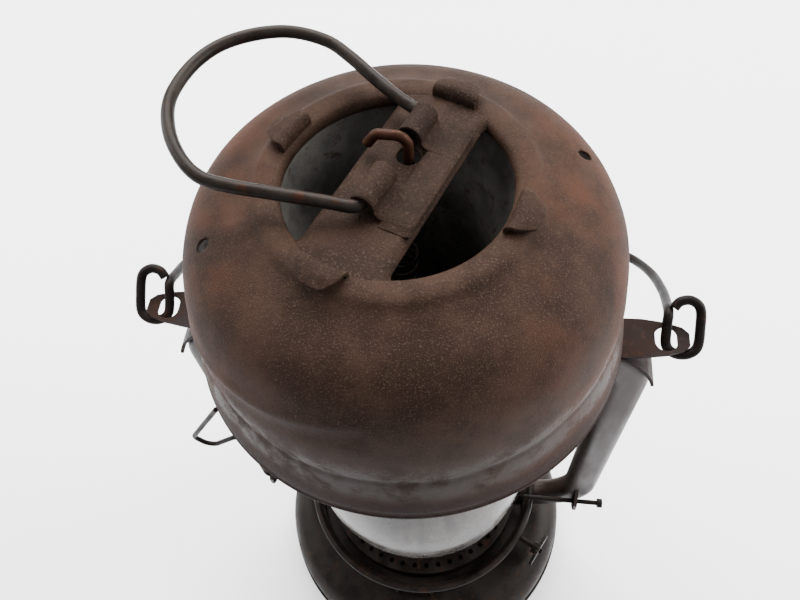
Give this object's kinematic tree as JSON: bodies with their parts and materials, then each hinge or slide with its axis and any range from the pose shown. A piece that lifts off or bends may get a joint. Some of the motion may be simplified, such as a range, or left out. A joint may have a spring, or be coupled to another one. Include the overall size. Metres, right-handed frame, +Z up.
{
  "type": "barn lantern",
  "caption": "Small cold-blast tubular kerosene lantern with a domed hood, glass globe, side air tubes, fuel tank, bail and lift ring.",
  "frame": {"origin": "centre of the tank's underside, on the resting plane", "axes": "+Z up along the globe's axis; +X through the right side tube and the bail's pivot; -Y is the front"},
  "size_m": [0.2116, 0.1666, 0.3121],
  "materials": {
    "rusty_steel": "rusted, matt, sandy",
    "clip_steel": "orange-brown rust",
    "sooty_steel": "sooty rust",
    "tank_steel": "dark brown-grey, worn",
    "tube_steel": "dull tinned steel, stained",
    "ear_steel": "brown, matt",
    "wire": "dark oxidised wire",
    "ring_wire": "dark grey steel, worn",
    "brass": "tarnished",
    "cork": "matt",
    "cotton": "woven, charred tip",
    "globe_glass": "clear glass clouded with dust"
  },
  "bodies": {
    "frame": {"tank_shell": "tank_steel", "tank_bottom": "tank_steel", "burner_collar": "brass", "filler_neck": "tank_steel", "right_tube": "tube_steel", "left_tube": "tube_steel", "drum": "tank_steel", "drum_cover": "tank_steel", "burner_body": "brass", "wick_tube": "brass", "burner_cone": "brass", "right_lever_lug": "tube_steel", "left_lever_lug": "tube_steel", "air_chamber": "tube_steel", "tube_collars": "tube_steel", "spring_bar": "wire", "guard_hoop": "wire", "right_ear": "ear_steel", "left_ear": "ear_steel", "hood_spring": "wire"},
    "globe_carrier": {"globe_plate": "tank_steel", "globe": "globe_glass"},
    "lever": {"lift_lever": "wire"},
    "hood_group": {"hood": "rusty_steel", "chimney": "sooty_steel", "bell": "sooty_steel", "ring_clip": "clip_steel", "hook_rod": "clip_steel"},
    "ring": {"lift_ring": "ring_wire"},
    "bail": {"bail": "wire"},
    "wick_raiser": {"wick_shaft": "wire", "spur_wheels": "brass", "wick_wheel": "tank_steel"},
    "wick": {"wick": "cotton"},
    "cap_travel": {"cap_gasket": "cork"},
    "cap": {"filler_cap": "tank_steel"}
  },
  "joints": [
    {"name": "lever_turn", "type": "hinge", "parent": "frame", "child": "lever", "pos_m": [0, -0.0082, 0.062], "axis": [1, 0, 0], "range_deg": [0, 19.32]},
    {"name": "globe_lift", "type": "slide", "parent": "frame", "child": "globe_carrier", "axis": [0, 0, 1], "range_m": [0, 0.01251]},
    {"name": "hood_lift", "type": "slide", "parent": "globe_carrier", "child": "hood_group", "axis": [0, 0, 1], "range_m": [0, 0.017], "stiffness_N_per_m": 120, "springref_m": -0.01, "deforming": ["hood_spring"]},
    {"name": "ring_fold", "type": "hinge", "parent": "hood_group", "child": "ring", "pos_m": [-0.00232, 0.00094, 0.2997], "axis": [0.3746, 0.9272, 0], "range_deg": [-9, 165]},
    {"name": "bail_swing", "type": "hinge", "parent": "frame", "child": "bail", "pos_m": [0, 0, 0.2196], "axis": [1, 0, 0], "range_deg": [0, 75]},
    {"name": "wick_turn", "type": "hinge", "parent": "frame", "child": "wick_raiser", "pos_m": [0.00242, 0.00437, 0.042], "axis": [0.8746, -0.4848, 0], "range_deg": [-60, 180]},
    {"name": "wick_feed", "type": "slide", "parent": "frame", "child": "wick", "axis": [0, 0, 1], "range_m": [-0.0042, 0.0124]},
    {"name": "cap_rise", "type": "slide", "parent": "frame", "child": "cap_travel", "axis": [-0.3039, 0.4341, 0.848], "range_m": [0, 0.0051]},
    {"name": "cap_turn", "type": "hinge", "parent": "cap_travel", "child": "cap", "pos_m": [-0.03814, 0.05447, 0.026], "axis": [-0.3039, 0.4341, 0.848], "range_deg": [0, 720]}
  ],
  "couplings": [
    {"joint": "lever_turn", "follows": "globe_lift", "rad_per_m": 26.932},
    {"joint": "wick_feed", "follows": "wick_turn", "m_per_rad": 0.0039},
    {"joint": "cap_rise", "follows": "cap_turn", "m_per_rad": 0.00039789}
  ]
}
